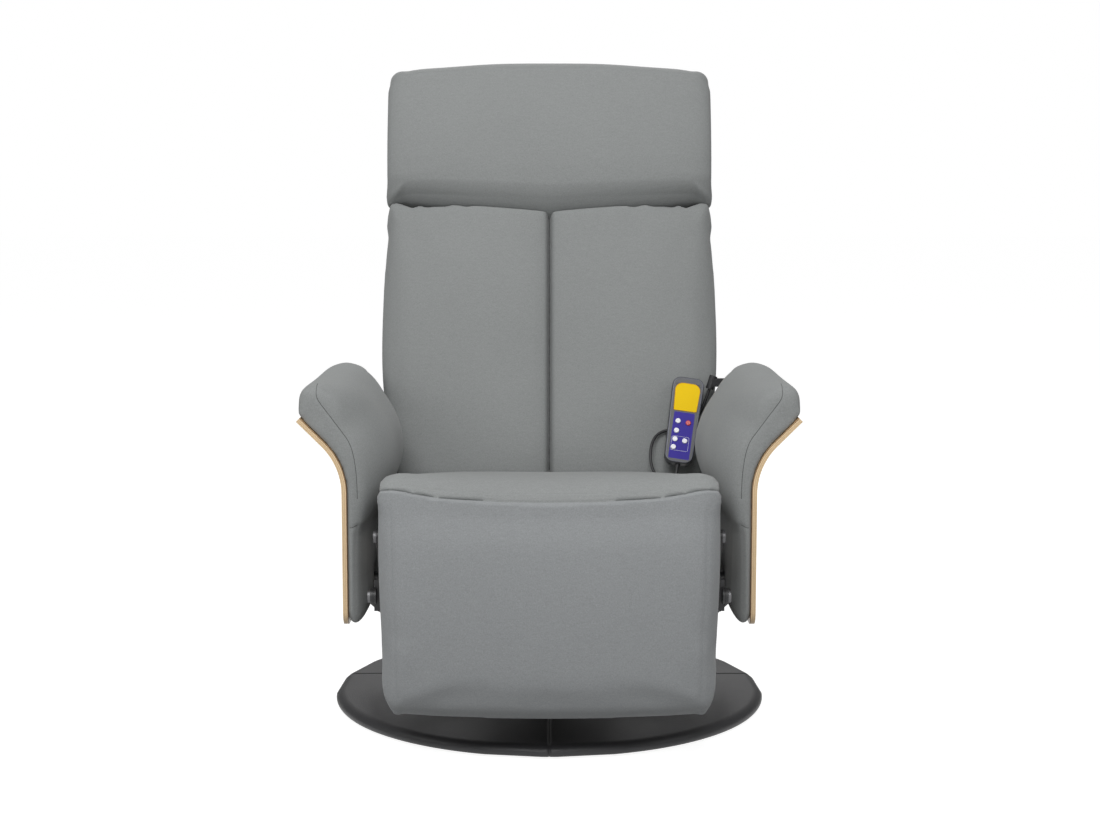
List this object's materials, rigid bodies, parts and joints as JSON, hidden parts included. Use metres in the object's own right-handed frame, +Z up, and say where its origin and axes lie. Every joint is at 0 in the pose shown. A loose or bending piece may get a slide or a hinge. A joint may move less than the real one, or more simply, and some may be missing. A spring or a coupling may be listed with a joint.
{
  "type": "massage recliner",
  "caption": "Swivel recliner with a round padded base, birch-sided padded arms, a folding leg rest, a reclining back, a tilting headrest and a corded massage handset.",
  "frame": {"origin": "centre of the round base, on the floor", "axes": "+Z up, -Y the way the sitter looks, +X to the sitter's left, with the seat facing forwards and the back upright"},
  "size_m": [0.7792, 0.8582, 1.084],
  "materials": {
    "upholstery": "woven grey upholstery fabric, soft and matt",
    "base_upholstery": "charcoal artificial leather",
    "birch": "clear satin lacquer on birch plywood",
    "plywood": "raw plywood",
    "black_steel": "black powder coat",
    "zinc_steel": "bright zinc plate",
    "felt": "pressed felt",
    "webbing": "woven elastic webbing",
    "bearing_plastic": "natural acetal",
    "motor_plastic": "moulded housing",
    "black_plastic": "moulded, fine matt texture",
    "circuit": "green solder mask",
    "yellow_panel": "printed film",
    "violet_panel": "printed film",
    "button_white": "moulded",
    "button_red": "moulded",
    "cord_sheath": "soft black sheath"
  },
  "bodies": {
    "base": {"base_board": "plywood", "base_cover": "base_upholstery", "base_felt_pad": "felt", "base_flange": "black_steel", "base_bolts": "zinc_steel", "base_column": "zinc_steel", "swivel_thrust_pad": "bearing_plastic"},
    "leg_drive": {"leg_drive_links": "black_steel", "leg_drive_tube": "black_steel"},
    "leg_follower": {"leg_follower_links": "black_steel", "knee_pivot_pins": "zinc_steel"},
    "leg_rest": {"leg_rest_board": "plywood", "leg_rest_brackets": "black_steel", "leg_rest_cushion": "upholstery", "leg_rest_screws": "zinc_steel", "leg_massage_motors": "motor_plastic", "leg_pivot_pins": "zinc_steel"},
    "backrest": {"back_cushion": "upholstery", "back_cover": "upholstery", "back_board": "plywood", "back_hinge_plates": "black_steel", "back_massage_motors": "motor_plastic", "headrest_hinge_lower_leaves": "black_steel", "headrest_pivot_pins": "zinc_steel"},
    "headrest": {"headrest_cushion": "upholstery", "headrest_board": "plywood", "headrest_hinge_upper_leaves": "black_steel"},
    "button_lower": {"handset_button_lower": "button_white"},
    "button_mode": {"handset_button_mode": "button_white"},
    "button_power": {"handset_button_power": "button_red"},
    "button_speed": {"handset_button_speed": "button_white"},
    "button_timer": {"handset_button_timer": "button_white"},
    "button_upper": {"handset_button_upper": "button_white"},
    "seat": {"arm_cores": "plywood", "arm_pad_left": "upholstery", "arm_pad_right": "upholstery", "arm_wood_panel_left": "birch", "arm_wood_panel_right": "birch", "control_board": "circuit", "control_box": "black_plastic", "control_box_lid": "black_plastic", "handset_back_case": "black_plastic", "handset_button_overlay": "violet_panel", "handset_circuit_board": "circuit", "handset_cord": "cord_sheath", "handset_cord_socket": "black_plastic", "handset_front_case": "black_plastic", "handset_strain_relief": "cord_sheath", "handset_window": "yellow_panel", "seat_cross_tubes": "black_steel", "seat_cushion": "upholstery", "seat_frame_bolts": "zinc_steel", "seat_massage_motors": "motor_plastic", "seat_rails": "plywood", "seat_webbing": "webbing", "side_plate_left": "black_steel", "side_plate_pivot_pins": "zinc_steel", "side_plate_right": "black_steel", "swivel_bush": "bearing_plastic", "swivel_plate": "black_steel"}
  },
  "joints": [
    {"name": "swivel", "type": "hinge", "parent": "base", "child": "seat", "pos_m": [0, 0, 0], "axis": [0, 0, 1], "continuous": true},
    {"name": "leg_rest_drive", "type": "hinge", "parent": "seat", "child": "leg_drive", "pos_m": [0, -0.29, 0.33], "axis": [-1, 0, 0], "range_deg": [0, 110]},
    {"name": "leg_rest_knee", "type": "hinge", "parent": "leg_drive", "child": "leg_follower", "pos_m": [0, -0.18755, 0.20066], "axis": [-1, 0, 0], "range_deg": [-107, 0]},
    {"name": "leg_rest_tilt", "type": "hinge", "parent": "leg_follower", "child": "leg_rest", "pos_m": [0, -0.345, 0.25], "axis": [-1, 0, 0], "range_deg": [0, 83]},
    {"name": "backrest_recline", "type": "hinge", "parent": "seat", "child": "backrest", "pos_m": [0, 0.15, 0.33], "axis": [-1, 0, 0], "range_deg": [0, 35]},
    {"name": "headrest_tilt", "type": "hinge", "parent": "backrest", "child": "headrest", "pos_m": [0, 0.306, 0.86786], "axis": [1, 0, 0], "range_deg": [0, 30]},
    {"name": "button_lower_press", "type": "slide", "parent": "seat", "child": "button_lower", "axis": [0, 0.9135, -0.4067], "range_m": [0, 0.001], "stiffness_N_per_m": 300},
    {"name": "button_mode_press", "type": "slide", "parent": "seat", "child": "button_mode", "axis": [0, 0.9135, -0.4067], "range_m": [0, 0.001], "stiffness_N_per_m": 300},
    {"name": "button_power_press", "type": "slide", "parent": "seat", "child": "button_power", "axis": [0, 0.9135, -0.4067], "range_m": [0, 0.001], "stiffness_N_per_m": 300},
    {"name": "button_speed_press", "type": "slide", "parent": "seat", "child": "button_speed", "axis": [0, 0.9135, -0.4067], "range_m": [0, 0.001], "stiffness_N_per_m": 300},
    {"name": "button_timer_press", "type": "slide", "parent": "seat", "child": "button_timer", "axis": [0, 0.9135, -0.4067], "range_m": [0, 0.001], "stiffness_N_per_m": 300},
    {"name": "button_upper_press", "type": "slide", "parent": "seat", "child": "button_upper", "axis": [0, 0.9135, -0.4067], "range_m": [0, 0.001], "stiffness_N_per_m": 300}
  ],
  "couplings": [
    {"joint": "leg_rest_knee", "follows": "leg_rest_drive", "ratio": -0.97},
    {"joint": "leg_rest_tilt", "follows": "leg_rest_drive", "ratio": 0.75}
  ]
}
